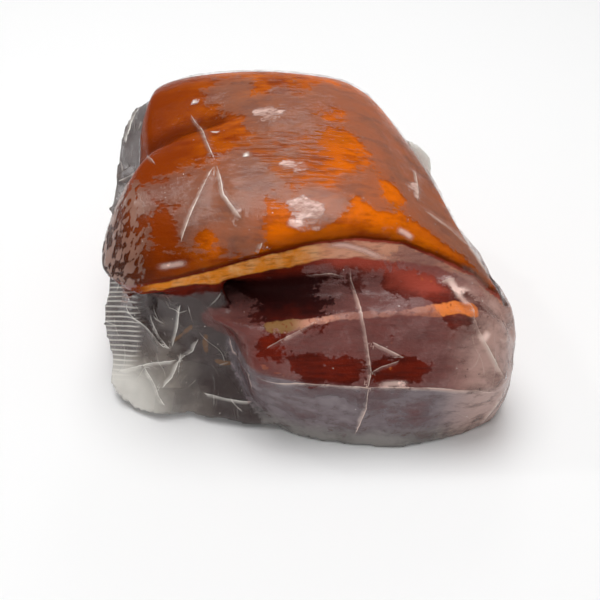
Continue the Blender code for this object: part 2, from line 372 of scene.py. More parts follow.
FLECKS = (
    ((-0.0170, -0.0745, 0.0420), (-0.0109, -0.0803, 0.0391), (-0.0053, -0.0811, 0.0378),
     (0.0003, -0.0807, 0.0385)),
    ((0.0302, -0.0797, 0.0396), (0.0358, -0.0794, 0.0403)),
    ((0.0356, -0.0753, 0.0483), (0.0329, -0.0745, 0.0500)),
    ((0.0380, -0.0560, 0.0680), (0.0500, -0.0580, 0.0650), (0.0600, -0.0620, 0.0600),
     (0.0680, -0.0660, 0.0560)),
)
FLECK_REACH = (0.0022, 0.0)
FACE_FROM_Y = -0.020  # the cut face begins in front of this
FACE_FULL_Y = -0.044


def height_on(edge, along_x):
    """Height of an edge, given as (x, z) places, at each x."""
    places, heights = zip(*edge)
    return np.interp(along_x, places, heights)


at = points_of(meat)
keep_number(meat, "under_lip", height_on(LIP, at[:, 0]) - at[:, 2])
keep_number(meat, "over_ledge", at[:, 2] - height_on(LEDGE, at[:, 0]))
keep_number(meat, "over_toe", at[:, 2] - height_on(TOE, at[:, 0]))
keep_number(meat, "face", fade(at[:, 1], FACE_FROM_Y, FACE_FULL_Y))
keep_number(meat, "from_seam", away_from(at, SEAM)[0])
keep_number(meat, "along_seam", fade(at[:, 0], 0.035, 0.058))
keep_number(meat, "seam_start", fade(at[:, 0], 0.004, -0.004))
keep_number(meat, "taper", fade(at[:, 0], 0.034, 0.062) + 0.7 * fade(at[:, 0], -0.026, -0.050))
# how near a point is to the fold between the lobes, which gets painted shade
keep_number(meat, "fold", fade(away_from(at, FOLD)[0], 0.010, 0.003))
keep_number(meat, "left", fade(at[:, 0], -0.020, -0.066) * (0.75 + 0.25 * fade(at[:, 1], 0.005, -0.020)))
keep_number(meat, "band_end", fade(at[:, 0], -0.054, -0.062))
keep_number(meat, "flecks", near_lines(at, FLECKS, FLECK_REACH))
pit_gaps = [np.linalg.norm(at - pit, axis=1) for pit in PITS]
keep_number(meat, "pits", fade(np.min(pit_gaps, axis=0), PIT_RADIUS, 0))
print("the lip rises to", max(z for x, z in LIP), "m")

# %% [markdown]
# ## Wiring materials
#
# A node material is arithmetic with a picture of itself. Written as Python expressions it stays
# readable: a Signal stands for a socket, and adding or multiplying signals adds the Math nodes.
# Every other kind of node comes from Finish.node.


# %% Signals and finishes
class Signal:
    """What comes out of a socket. Arithmetic on it adds Math nodes."""

    def __init__(self, finish, socket):
        self.finish = finish
        self.socket = socket

    def math(self, operation, *values):
        return self.finish.node("ShaderNodeMath", {"operation": operation}, dict(enumerate(values)))

    def __add__(self, other):
        return self.math("ADD", self, other)

    def __sub__(self, other):
        return self.math("SUBTRACT", self, other)

    def __rsub__(self, other):
        return self.math("SUBTRACT", other, self)

    def __mul__(self, other):
        return self.math("MULTIPLY", self, other)

    __radd__ = __add__
    __rmul__ = __mul__

    def clamped(self):
        return self.finish.node("ShaderNodeClamp", {}, {"Value": self})

    def rising(self, start, end):
        """0 up to start and 1 from end on, eased between; it falls where end is less than start."""
        inputs = {"Value": self, "From Min": start, "From Max": end}
        return self.finish.node("ShaderNodeMapRange", {"interpolation_type": "SMOOTHSTEP"}, inputs)


class Finish:
    """A material being wired, on the coordinates and numbers of its own piece."""

    def __init__(self, name):
        self.material = bpy.data.materials.new(name)
        self.material.use_nodes = True
        self.tree = self.material.node_tree
        self.shader = self.tree.nodes["Principled BSDF"]
        self.place = self.node("ShaderNodeTexCoord", output="Object")

    def node(self, kind, settings=None, inputs=None, output=0):
        node = self.tree.nodes.new(kind)
        for key, value in (settings or {}).items():
            setattr(node, key, value)
        for key, value in (inputs or {}).items():
            self.feed(node.inputs[key], value)
        return Signal(self, node.outputs[output])

    def feed(self, socket, value):
        if isinstance(value, Signal):
            self.tree.links.new(value.socket, socket)
        else:
            socket.default_value = value

    def set(self, **values):
        """Feeds the shader's sockets; an underscore stands for a space in a socket's name."""
        for name, value in values.items():
            self.feed(self.shader.inputs[name.replace("_", " ")], value)

    def number(self, name):
        """A number kept on the piece's points."""
        return self.node("ShaderNodeAttribute", {"attribute_name": name}, output="Fac")

    def noise(self, grain, detail=3.0, roughness=0.5, stretch=(1, 1, 1), turn=(0, 0, 0), shift=0.0):
        """Noise from 0 to 1 with spots about grain metres wide, each axis drawn out by stretch."""
        scale = [1 / (grain * s) for s in stretch]
        mapped = self.node("ShaderNodeMapping", {"vector_type": "TEXTURE"},
                           {"Vector": self.place, "Rotation": turn, "Location": (shift, 0, 0)})
        spread_out = self.node("ShaderNodeVectorMath", {"operation": "MULTIPLY"}, {0: mapped, 1: scale})
        inputs = {"Vector": spread_out, "Scale": 1.0, "Detail": detail, "Roughness": roughness}
        return self.node("ShaderNodeTexNoise", {}, inputs)

    def cells(self, grain):
        """One random value for each cell, about grain metres wide."""
        inputs = {"Vector": self.place, "Scale": 1 / grain}
        return self.node("ShaderNodeTexVoronoi", {"feature": "F1"}, inputs, "Color")

    def folds(self, direction, spacing, width):
        """Thin lines square to direction, spacing metres apart, that wander a little and break off."""
        steps = [d / spacing for d in direction]
        inputs = {0: self.place, 1: steps}
        run = self.node("ShaderNodeVectorMath", {"operation": "DOT_PRODUCT"}, inputs, "Value")
        run = run + self.noise(spacing * 3, detail=1, shift=direction[0]) * 1.8
        off = run.math("PINGPONG", run, 0.5)
        kept = self.noise(spacing * 1.2, detail=2, shift=direction[1]).rising(0.52, 0.66)
        return off.rising(width / spacing, 0.0) * kept

    def mix(self, first, second, share):
        """A colour between two others."""
        return self.node("ShaderNodeMix", {"data_type": "RGBA"}, {0: share, 6: first, 7: second}, output=2)

    def bumps(self, *layers):
        """Bump nodes chained together, each from a height signal and its depth in metres."""
        normal = None
        for height, depth in layers:
            inputs = {"Height": height, "Distance": depth, "Strength": 1.0}
            if normal is not None:
                inputs["Normal"] = normal
            normal = self.node("ShaderNodeBump", {}, inputs)
        return normal


def tone(red, green, blue):
    """A colour given as it looks on screen, 0 to 255, as the light values that a shader takes."""
    def light(level):
        level /= 255
        return level / 12.92 if level <= 0.04045 else ((level + 0.055) / 1.055) ** 2.4
    return (light(red), light(green), light(blue), 1.0)


print("white on screen is", tone(255, 255, 255)[:3])

# %% [markdown]
# ### Smoked rind, fat and lean
#
# Smoking turns the rind amber: brightest along the brow and nearly black at the tip of the left
# lobe. The fat is cream where it is thick and amber where the smoke reached it. The lean has dried to
# a dark maroon. All of it is wet against the film, so it is smooth and glossy, with a fine grain of
# fibres that runs from left to right. Shade is painted into the fold between the lobes, under the lip
# and in the recess of the cut face, and painted light brightens the top of the lean on the right.

# %% Colour the meat
RIND_AMBER = tone(206, 102, 0)
RIND_DEEP = tone(132, 46, 0)
RIND_GOLD = tone(228, 108, 0)
RIND_BLACK = tone(66, 28, 12)
RIND_BROWN = tone(128, 46, 0)
# dark brown for specks and pits of the rind, and for painted shade in the fold between the lobes and under
# the lip
RIND_SPECK_AND_SHADE = tone(88, 28, 2)
FAT_AMBER = tone(232, 138, 40)
FAT_CREAM = tone(240, 190, 130)
FAT_PINK = tone(238, 178, 154)
LEAN_RED = tone(122, 32, 12)
LEAN_DARK = tone(56, 20, 16)
# painted shade for the recess under the lip
LEAN_SHADE = tone(38, 14, 14)
LEAN_MAUVE = tone(112, 66, 64)
# painted light: a lighter red for the top of the lean on the right, where more light falls
LEAN_PAINTED_LIGHT = tone(176, 76, 60)
SEAM_PINK = tone(200, 142, 120)
SEAM_ORANGE = tone(232, 128, 54)
SEAM_CREAM = tone(136, 100, 60)
TIP = (-0.080, -0.050, 0.066)  # the dark end of the left lobe
TIP_REACH = 0.042

keep_number(meat, "tip", fade(np.linalg.norm((at - TIP) / (1, 1.25, 1), axis=1), TIP_REACH, 0.008))
# where the cut face falls back into a recess, which gets painted shade
keep_number(meat, "recess", fade(at[:, 0], 0.058, 0.010) * fade(at[:, 0], -0.045, -0.030))
# the right part of the cut face, where the fat is pinker and the lean gets painted light
keep_number(meat, "bright", fade(at[:, 0], -0.002, 0.016))


def meat_finish():
    finish = Finish("smoked_meat")
    fibre = finish.noise(0.0011, detail=4, stretch=(9, 1, 1))
    mottle = finish.noise(0.014, detail=5, roughness=0.6)
    speck = finish.noise(0.0016, detail=3, shift=0.3)
    fray = finish.noise(0.005, detail=5, roughness=0.65, shift=0.7)
    blotch = finish.noise(0.006, detail=4, roughness=0.6, stretch=(2.2, 1, 1), shift=1.1)
    strand = finish.noise(0.0016, detail=4, stretch=(3.5, 1, 1), turn=(0, -0.14, 0), shift=0.4)
    right = finish.number("bright")
    under = finish.number("under_lip") + (fray - 0.5) * 0.0026
    over_ledge = finish.number("over_ledge") + (fray - 0.5) * 0.0030
    over_toe = finish.number("over_toe")
    tip = finish.number("tip")

    rind = finish.mix(RIND_AMBER, RIND_DEEP, (mottle * 1.8 - 0.4 + (fibre - 0.5) * 0.9).clamped())
    rind = finish.mix(rind, RIND_DEEP, blotch.rising(0.52, 0.66) * 0.7)
    rind = finish.mix(rind, RIND_SPECK_AND_SHADE, speck.rising(0.60, 0.72) * 0.35)
    rind = finish.mix(rind, RIND_BROWN, (finish.number("left") * 1.6 + (blotch - 0.5) * 1.2).clamped() * 0.9)
    brow = under.rising(-0.019, -0.009) * under.rising(0.000, -0.006) * mottle.rising(0.35, 0.55)
    brow = brow * finish.number("left").rising(0.5, 0.0)
    rind = finish.mix(rind, RIND_GOLD, brow * (0.95 - blotch.rising(0.50, 0.64) * 0.5))
    tip_dark = (tip * 1.5 + (fray - 0.5) * 1.2 - 0.35).clamped()
    rind = finish.mix(rind, RIND_BLACK, tip_dark)
    # painted shade darkens the rind in the fold between the lobes; the pits are dark spots of the rind itself
    rind = finish.mix(rind, RIND_SPECK_AND_SHADE, finish.number("fold") * 0.8 + finish.number("pits"))
    # painted shade: the rind darkens where it turns down under the lip onto the cut face
    rind = finish.mix(rind, RIND_SPECK_AND_SHADE, under.rising(-0.0004, 0.0016) * finish.number("face") * 0.8)

    fat = finish.mix(FAT_AMBER, FAT_CREAM, (fray * 2.0 + mottle * 1.4 - 1.50).clamped())
    fat = finish.mix(fat, FAT_PINK, right * 0.8)
    fat = finish.mix(fat, LEAN_RED, (strand * 2.6 - 1.25 + (fibre - 0.5) * 1.4).clamped() * 0.70)
    lean = finish.mix(LEAN_RED, LEAN_DARK, (mottle * 1.8 - 0.45 + (fibre - 0.5) * 1.2).clamped())
    # painted light: the top of the lean on the right is lighter, as if more light fell on it
    lit_upper = over_ledge.rising(0.001, 0.004)
    lean = finish.mix(lean, LEAN_PAINTED_LIGHT, lit_upper * right * mottle.rising(0.30, 0.50))
    # painted shade: the lean turns nearly black in the recess under the lip
    hollow = finish.number("recess") * over_ledge.rising(-0.002, 0.001) * under.rising(0.012, 0.019)
    lean = finish.mix(lean, LEAN_SHADE, hollow * 0.95)
    lean = finish.mix(lean, LEAN_MAUVE, over_toe.rising(0.001, -0.001) * blotch.rising(0.38, 0.56) * 0.9)

    foot = (under + (mottle - 0.5) * 0.006 + finish.number("taper") * 0.006).rising(0.0116, 0.0104)
    band = under.rising(0.0030, 0.0042) * foot
    width = 0.0015 + finish.number("along_seam") * 0.0014 + finish.number("seam_start") * 0.0012
    width = width * (blotch * 1.6 + 0.2)
    seam = (finish.number("from_seam") + (fray - 0.5) * 0.0034 - width).rising(0.0004, -0.0004)
    seam_fat = finish.mix(SEAM_PINK, SEAM_ORANGE, finish.number("along_seam"))
    seam_fat = finish.mix(seam_fat, SEAM_CREAM, finish.number("seam_start"))
    seam_fat = finish.mix(seam_fat, LEAN_RED, speck.rising(0.54, 0.70) * 0.6)
    flecks = (finish.number("flecks") + (fray - 0.5) * 2.4).rising(0.62, 0.74)
    lean = finish.mix(lean, SEAM_ORANGE, flecks * 0.35)
    cut = finish.mix(finish.mix(lean, fat, band), seam_fat, seam)
    cut = finish.mix(cut, RIND_BROWN, finish.number("band_end") * under.rising(0.020, 0.014))
    shown = finish.number("face") * under.rising(0.0016, 0.0030)
    colour = finish.mix(rind, cut, shown)

    relief = finish.bumps((fibre, 0.00016), (speck, 0.00016), (fray, 0.0004))
    finish.set(Base_Color=colour, Roughness=0.16 + mottle * 0.12, Normal=relief)
    finish.set(IOR=1.1)
    return finish.material


meat.data.materials.append(meat_finish())
meat.data.shade_smooth()
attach(meat, "root")
print("coloured", meat.name)

# %% [markdown]
# ## The film
#
# The bag is one sheet of clear film all round. A cloth simulation could draw it tight, but where the
# creases fall would then be left to chance. The pack's form already is the tight film, so the film
# starts as a copy of it, and the creases are raised one by one along listed lines. Each
# is a low tent: two slopes that meet on a sharp crest.

# %% Lay out the creases
# Each crease: height, reach to each side, and the places it runs through.
CREASES = {
    "neck": (0.0014, 0.0060, (
        (-0.0465, 0.0214, 0.0924), (-0.0412, 0.0108, 0.0900), (-0.0353, -0.0148, 0.0975),
        (-0.0315, -0.0263, 0.0962))),
    "neck_left": (0.0011, 0.0045, (
        (-0.0315, -0.0263, 0.0962), (-0.0371, -0.0420, 0.0909), (-0.0425, -0.0542, 0.0824),
        (-0.0437, -0.0564, 0.0796))),
    "neck_right": (0.0012, 0.0050, (
        (-0.0315, -0.0263, 0.0962), (-0.0292, -0.0342, 0.0945), (-0.0278, -0.0418, 0.0921),
        (-0.0202, -0.0516, 0.0873))),
    "brow_nick": (0.0006, 0.0025, (
        (-0.0136, -0.0561, 0.0816), (-0.0155, -0.0567, 0.0765))),
    "plumb": (0.0015, 0.0055, (
        (0.0186, -0.0534, 0.0721), (0.0195, -0.0552, 0.0640), (0.0221, -0.0613, 0.0583),
        (0.0243, -0.0715, 0.0548), (0.0268, -0.0799, 0.0393), (0.0258, -0.0824, 0.0338),
        (0.0255, -0.0827, 0.0234), (0.0212, -0.0818, 0.0038))),
    "facet_top": (0.0006, 0.0030, (
        (0.0266, -0.0745, 0.0495), (0.0330, -0.0760, 0.0469), (0.0398, -0.0776, 0.0437))),
    "facet_low": (0.0006, 0.0030, (
        (0.0268, -0.0799, 0.0393), (0.0309, -0.0790, 0.0410), (0.0376, -0.0779, 0.0431))),
    "toe": (0.0007, 0.0040, (
        (-0.0187, -0.0762, 0.0352), (0.0036, -0.0822, 0.0352), (0.0258, -0.0824, 0.0338),
        (0.0530, -0.0820, 0.0329), (0.0666, -0.0803, 0.0312), (0.0775, -0.0748, 0.0262))),
    "right_low": (0.0009, 0.0040, (
        (0.0771, -0.0753, 0.0262), (0.0755, -0.0727, 0.0136), (0.0714, -0.0714, 0.0020))),
    "right_up": (0.0010, 0.0045, (
        (0.0616, -0.0631, 0.0593), (0.0649, -0.0704, 0.0548), (0.0693, -0.0732, 0.0458),
        (0.0771, -0.0757, 0.0283))),
    "under_lip": (0.0007, 0.0030, (
        (0.0014, -0.0533, 0.0640), (0.0116, -0.0540, 0.0659), (0.0172, -0.0548, 0.0646))),
    "white": (0.0007, 0.0035, (
        (-0.0132, -0.0751, 0.0455), (-0.0072, -0.0730, 0.0486), (0.0003, -0.0709, 0.0517),
        (0.0074, -0.0685, 0.0546))),
    "cut_left": (0.0010, 0.0045, (
        (-0.0278, -0.0582, 0.0400), (-0.0249, -0.0605, 0.0320), (-0.0187, -0.0762, 0.0352),
        (-0.0165, -0.0699, 0.0136))),
    "flap_a": (0.0010, 0.0040, (
        (-0.0753, -0.0521, 0.0118), (-0.0604, -0.0559, 0.0206), (-0.0472, -0.0591, 0.0258))),
    "flap_b": (0.0009, 0.0040, (
        (-0.0701, -0.0366, 0.0360), (-0.0599, -0.0495, 0.0327), (-0.0529, -0.0559, 0.0277))),
    "flap_c": (0.0007, 0.0035, (
        (-0.0635, -0.0556, 0.0186), (-0.0585, -0.0611, 0.0132), (-0.0540, -0.0672, 0.0067))),
    "flap_d": (0.0009, 0.0035, (
        (-0.0461, -0.0537, 0.0505), (-0.0478, -0.0545, 0.0387), (-0.0508, -0.0562, 0.0290))),
    "flap_e": (0.0007, 0.0030, (
        (-0.0595, -0.0472, 0.0397), (-0.0564, -0.0524, 0.0326), (-0.0512, -0.0563, 0.0281))),
    "flap_f": (0.0007, 0.0035, (
        (-0.0390, -0.0576, 0.0373), (-0.0421, -0.0586, 0.0302), (-0.0471, -0.0590, 0.0262),
        (-0.0507, -0.0616, 0.0183), (-0.0563, -0.0630, 0.0123))),
    "flap_g": (0.0007, 0.0040, (
        (-0.0394, -0.0633, 0.0114), (-0.0291, -0.0668, 0.0116), (-0.0178, -0.0678, 0.0108))),
    "web_a": (0.0009, 0.0040, (
        (-0.0706, 0.0464, 0.0807), (-0.0746, 0.0397, 0.0748), (-0.0765, 0.0305, 0.0701))),
    "web_b": (0.0007, 0.0035, (
        (-0.0617, 0.0131, 0.0758), (-0.0580, -0.0050, 0.0850), (-0.0545, -0.0235, 0.0926))),
    "web_c": (0.0009, 0.0035, (
        (-0.0791, 0.0177, 0.0592), (-0.0706, 0.0217, 0.0618))),
    "rear_a": (0.0007, 0.0045, (
        (0.0455, -0.0095, 0.0828), (0.0459, -0.0231, 0.0823), (0.0450, -0.0325, 0.0826))),
    "rear_b": (0.0007, 0.0040, (
        (0.0460, -0.0347, 0.0818), (0.0577, -0.0390, 0.0746), (0.0641, -0.0436, 0.0699),
        (0.0720, -0.0554, 0.0632))),
    "fat_right": (0.0007, 0.0030, (
        (0.0528, -0.0580, 0.0638), (0.0547, -0.0568, 0.0644), (0.0585, -0.0558, 0.0650))),
}
# painted highlights: pale streaks of light along the fat band, the lip, the brow and the toe
PAINTED_HIGHLIGHT_LINES = (
    ((0.0069, -0.0530, 0.0765), (0.0106, -0.0528, 0.0778), (0.0169, -0.0527, 0.0777),
     (0.0244, -0.0529, 0.0755), (0.0301, -0.0533, 0.0726), (0.0357, -0.0533, 0.0721)),
    ((0.0350, -0.0520, 0.0849), (0.0388, -0.0527, 0.0832), (0.0425, -0.0542, 0.0811)),
    ((-0.0533, -0.0588, 0.0716), (-0.0495, -0.0590, 0.0727), (-0.0446, -0.0590, 0.0737),
     (-0.0401, -0.0589, 0.0745)),
    ((-0.0052, -0.0520, 0.0876), (-0.0016, -0.0526, 0.0871), (0.0021, -0.0521, 0.0877)),
    ((0.0551, -0.0554, 0.0657), (0.0609, -0.0628, 0.0596)),
    ((0.0573, -0.0581, 0.0630), (0.0634, -0.0672, 0.0585)),
    ((0.0667, -0.0729, 0.0485), (0.0698, -0.0703, 0.0513)),
    ((0.0284, -0.0822, 0.0342), (0.0359, -0.0818, 0.0349), (0.0423, -0.0819, 0.0344)),
)
JUICE_LINES = (
    ((-0.0508, -0.0562, 0.0290), (-0.0494, -0.0554, 0.0326), (-0.0441, -0.0559, 0.0384),
     (-0.0394, -0.0564, 0.0440)),
    ((-0.0360, -0.0575, 0.0408), (-0.0371, -0.0581, 0.0351), (-0.0367, -0.0590, 0.0268)),
    ((-0.0364, -0.0591, 0.0263), (-0.0304, -0.0602, 0.0246), (-0.0226, -0.0648, 0.0268)),
)
print(len(CREASES), "creases laid out")

# %% [markdown]
# A crease is only as sharp as the faces that carry it. Halving every face of the film would cost four
# times as many, so only those near a crease, a painted highlight line or a streak of juice are subdivided.

# %% Helpers for the film
FILM_VOXEL = 0.0015
FILM_LIFT = 0.0002
FILM_OVER_MEAT = 0.0003  # no point of the film is closer to the meat than this
FINE_REACH = 0.0030
CRUMPLE_SEED = 11
CRUMPLE_FOLDS = 7
CRUMPLE_LENGTHS = (0.009, 0.030)
SLACK = 0.0002  # depth of the crumple where the film is stuck down
SLACK_LOOSE = 0.0016  # and what is added where it hangs loose,
SLACK_FACE = 0.0005  # over the cut face
SLACK_END = 0.0010  # and at the right end
END_LIFT = 0.0014
CREASE_POWER = 1.3  # above 1, the slopes of a crease are hollow and its crest is sharp


def select_near(thing, lines, reach):
    """Selects the points within reach of any line, for an operator in edit mode."""
    near = np.zeros(len(thing.data.vertices), bool)
    places = points_of(thing)
    for line in lines:
        near |= away_from(places, line)[0] < reach
    bpy.ops.object.mode_set(mode="EDIT")
    bpy.ops.mesh.select_mode(type="VERT")
    bpy.ops.mesh.select_all(action="DESELECT")
    bpy.ops.object.mode_set(mode="OBJECT")
    thing.data.vertices.foreach_set("select", near)
    return int(near.sum())


def surface_of(thing):
    shape = bmesh.new()
    shape.from_mesh(thing.data)
    tree = BVHTree.FromBMesh(shape)
    shape.free()
    return tree


def onto(tree, line, spacing=0.003):
    """The line cut into short steps, each laid onto the surface."""
    laid = []
    for start, end in zip(line, line[1:]):
        steps = max(1, round(math.dist(start, end) / spacing))
        for i in range(steps):
            place = Vector(start).lerp(Vector(end), i / steps)
            laid.append(tree.find_nearest(place)[0])
    laid.append(tree.find_nearest(Vector(line[-1]))[0])
    return [tuple(place) for place in laid]


def crumple(places, seed):
    """Flat facets between sharp folds, from -1 to 1: triangle waves that run in scattered directions."""
    rng = np.random.default_rng(seed)
    places = places + 0.003 * np.sin(places[:, [1, 2, 0]] * 210)
    total = np.zeros(len(places))
    weights = 0.0
    for _ in range(CRUMPLE_FOLDS):
        direction = rng.normal(size=3)
        direction /= np.linalg.norm(direction)
        length = rng.uniform(*CRUMPLE_LENGTHS)
        run = places @ direction / length + rng.uniform()
        total += length * (4 * np.abs(run - np.floor(run) - 0.5) - 1)
        weights += length
    return total / weights


meat_skin = surface_of(meat)
print("the meat's skin is ready to measure from")

# %% [markdown]
# Between the creases the film is faintly crumpled, most where it hangs loose and at the right end.
# A last pass sets every point that would sink into the meat just outside it.


# %% Raise the film's creases
def over_meat(places):
    """How far each place is from the meat."""
    return np.array([meat_skin.find_nearest(Vector(place))[3] for place in places])


def off_the_meat(places):
    """The places, with those that lie in the meat, or nearly, set just outside it."""
    cleared = places.copy()
    for i, place in enumerate(places):
        spot, normal, _, gap = meat_skin.find_nearest(Vector(place))
        height = (Vector(place) - spot).dot(normal)
        if gap < LEFT_STRETCH * 1.5 and height < FILM_OVER_MEAT:
            cleared[i] = spot + normal * FILM_OVER_MEAT
    return cleared


film = copy_of_pack("vacuum_film")
remesh(film, FILM_VOXEL)
apply_modifier(film, "SMOOTH", factor=0.5, iterations=3)
skin = surface_of(film)
laid_lines = {name: onto(skin, line) for name, (height, reach, line) in CREASES.items()}
select_only(film)
chosen = select_near(film, [*laid_lines.values(), *PAINTED_HIGHLIGHT_LINES, *JUICE_LINES], FINE_REACH)
bpy.ops.object.mode_set(mode="EDIT")
bpy.ops.mesh.subdivide(number_cuts=1)
bpy.ops.object.mode_set(mode="OBJECT")

at = points_of(film)
outward = normals_of(film)
raised = np.full(len(at), FILM_LIFT)
nearest = np.full(len(at), 1.0)
across = np.full(len(at), 1.0)
pull = np.zeros(len(at))
for name, (height, reach, line) in CREASES.items():
    gap, along, side = away_from(at, laid_lines[name], outward)
    ends = fade(along, 0.0, 0.15) * fade(along, 1.0, 0.85)
    tent = np.clip(1 - gap / reach, 0, 1) ** CREASE_POWER
    raised = np.maximum(raised, FILM_LIFT + height * ends * tent)
    closer = gap < nearest
    nearest[closer] = gap[closer]
    across[closer] = (side * gap)[closer]
    pull[closer] = ends[closer]
thin = fade(over_meat(at), 0.0010, 0.0030)
sheet = fade(inward_depth(film), SHEET_LIMIT, SHEET_LIMIT * 0.8)
below = height_on(LIP, at[:, 0]) - at[:, 2]
on_face = fade(below, 0.001, 0.004) * fade(at[:, 1], FACE_FROM_Y, FACE_FULL_Y)
right_end = on_face * fade(at[:, 0], 0.050, 0.070)
slack = SLACK + SLACK_LOOSE * thin + SLACK_FACE * on_face + SLACK_END * right_end
raised += slack * crumple(at, CRUMPLE_SEED) + END_LIFT * right_end
moved = at + outward * raised[:, None]
moved[:, 2] = np.maximum(moved[:, 2], 0.0)
moved = off_the_meat(moved)
move_points(film, moved)
print("the film has", triangles(film), "triangles;", chosen, "points lie near a crease")

# %% [markdown]
# ### Where air stays under the film
#
# Wherever the film is stuck to the wet rind it can't be seen. Where a breath of air lies between, it
# turns into a pale mauve veil. The veils have ragged edges, like a wet patch under glass. They are
# laid out as soft spots, each with a place, a size and a strength, and the material frays the sum.

# %% Lay out the veils
# Each spot: place, radius, and how much veil it adds (or takes away, where the film is stuck down).
VEILS = (
    ((-0.0567, 0.0365, 0.0932), 0.010, 0.25),
    ((-0.0311, 0.0275, 0.0975), 0.012, 0.60),
    ((-0.0149, 0.0156, 0.0989), 0.016, 0.85),
    ((-0.0064, -0.0051, 0.0993), 0.016, 0.80),
    ((-0.0192, -0.0306, 0.0962), 0.013, 0.85),
    ((-0.0234, -0.0523, 0.0865), 0.010, 1.00),
    ((-0.0300, -0.0440, 0.0910), 0.009, 0.70),
    ((-0.0408, -0.0355, 0.0928), 0.010, 0.60),
    ((-0.0407, -0.0524, 0.0843), 0.008, 0.75),
    ((0.0039, -0.0493, 0.0897), 0.009, 1.10),
    ((0.0120, -0.0485, 0.0895), 0.007, 0.80),
    ((-0.0559, -0.0386, 0.0881), 0.009, 0.55),
    ((-0.0550, -0.0530, 0.0802), 0.006, 0.30),
    ((-0.0490, -0.0500, 0.0830), 0.007, -0.50),
    ((-0.0350, -0.0540, 0.0830), 0.004, -0.90),
    ((0.0190, 0.0227, 0.0964), 0.016, 0.80),
    ((0.0306, 0.0043, 0.0929), 0.014, 0.85),
    ((0.0378, -0.0110, 0.0883), 0.013, 0.80),
    ((0.0228, -0.0329, 0.0933), 0.010, 0.85),
    ((0.0003, -0.0276, 0.0965), 0.013, 0.45),
    ((0.0499, -0.0358, 0.0793), 0.011, 0.80),
    ((0.0605, -0.0487, 0.0723), 0.010, 0.70),
    ((0.0715, -0.0585, 0.0633), 0.009, 0.70),
    ((0.0161, 0.0096, 0.0972), 0.007, -0.60),
    ((0.0182, -0.0100, 0.0964), 0.007, -0.50),
    ((0.0430, -0.0050, 0.0850), 0.020, 0.60),
    ((0.0440, -0.0300, 0.0820), 0.012, 0.60),
    ((0.0352, -0.0330, 0.0885), 0.006, -0.70),
    ((0.0166, -0.0239, 0.0955), 0.006, -0.50),
    ((0.0003, -0.0548, 0.0838), 0.008, -0.90),
    ((0.0167, -0.0541, 0.0855), 0.008, -1.00),
    ((0.0295, -0.0544, 0.0835), 0.008, -1.00),
    ((0.0447, -0.0532, 0.0767), 0.007, -1.00),
    ((0.0582, -0.0552, 0.0688), 0.006, -1.00),
    ((0.0723, -0.0575, 0.0576), 0.006, -0.90),
    ((0.0300, -0.0460, 0.0880), 0.006, 0.50),
    ((-0.0663, 0.0394, 0.0724), 0.012, -0.60),
    ((-0.0448, -0.0091, 0.0963), 0.010, -0.70),
    ((-0.0164, 0.0260, 0.0993), 0.007, -0.50),
    ((-0.0317, 0.0015, 0.0969), 0.012, -0.60),
    ((-0.0600, 0.0200, 0.0930), 0.018, -0.60),
    ((0.0760, -0.0150, 0.0350), 0.024, 0.55),
    ((0.0780, 0.0150, 0.0500), 0.018, 0.40),
)
FACE_VEIL = 0.75  # the cut face is veiled nearly all over
BACK_VEIL = 0.28  # and the back in patches
FACE_CLEAR = (
    ((0.0359, -0.0579, 0.0638), 0.004, 0.9),
    ((0.0415, -0.0585, 0.0638), 0.004, 1.0),
    ((0.0470, -0.0601, 0.0627), 0.004, 1.0),
    ((0.0525, -0.0627, 0.0609), 0.004, 0.9),
    ((0.0200, -0.0563, 0.0608), 0.004, 0.3),
    ((-0.0109, -0.0740, 0.0471), 0.008, 0.5),
    ((0.0040, -0.0794, 0.0403), 0.006, 0.9),
    ((0.0171, -0.0801, 0.0389), 0.005, 1.0),
    ((0.0321, -0.0801, 0.0389), 0.005, 1.0),
    ((0.0414, -0.0793, 0.0402), 0.005, 0.9),
    ((0.0589, -0.0673, 0.0590), 0.006, 1.0),
    ((0.0170, -0.0530, 0.0747), 0.006, 0.9),
    ((-0.0217, -0.0556, 0.0701), 0.010, 1.1),
    ((-0.0418, -0.0574, 0.0639), 0.010, 1.1),
    ((-0.0049, -0.0539, 0.0735), 0.009, 1.0),
    ((0.0280, -0.0535, 0.0760), 0.009, 0.6),
)
print(len(VEILS) + len(FACE_CLEAR), "spots laid out")

# %% [markdown]
# ### What else the film's material reads
#
# Numbers on the film's points say where it hangs loose, where it clings in stripes or in streaks,
# where the weld ribs it, where painted highlights, glints, light and shade go, and where it holds some juice.

# %% Keep the numbers on the film
# The middle and the reach of each region.
BRUSHED = ((0.0040, -0.0200, 0.0970), (0.024, 0.016, 0.02))  # where the film clings in fine stripes
STREAKED = ((-0.0720, -0.0450, 0.0740), (0.016, 0.026, 0.026))  # where it clings in slanted streaks
# painted light: the corner of the bag that lies on the table in strong light
PAINTED_LIGHT_CORNER = (-0.0740, -0.0600, 0.0040)
RIBBED = ((-0.0740, -0.0400, 0.0330), (0.010, 0.021, 0.026))  # the welded edge of the bag is ribbed
RIB_PITCH = 0.0020
# painted highlights: soft spots of light on the veils
PAINTED_HIGHLIGHT_SPOTS = (
    ((0.0020, -0.0485, 0.0900), 0.008, 1.0),
    ((-0.0120, 0.0060, 0.0993), 0.010, 0.65),
    ((-0.0030, -0.0276, 0.0965), 0.008, 0.6),
    ((0.0440, -0.0250, 0.0835), 0.008, 0.55),
    ((-0.0310, -0.0350, 0.0940), 0.006, 0.5),
    ((-0.0220, -0.0500, 0.0880), 0.006, 0.4),
    ((0.0300, -0.0520, 0.0850), 0.006, 0.5),
    ((0.0600, -0.0600, 0.0610), 0.006, 0.6),
)
PAINTED_HIGHLIGHT_WIDTH = (0.0021, 0.0003)  # from where it begins to where it is full
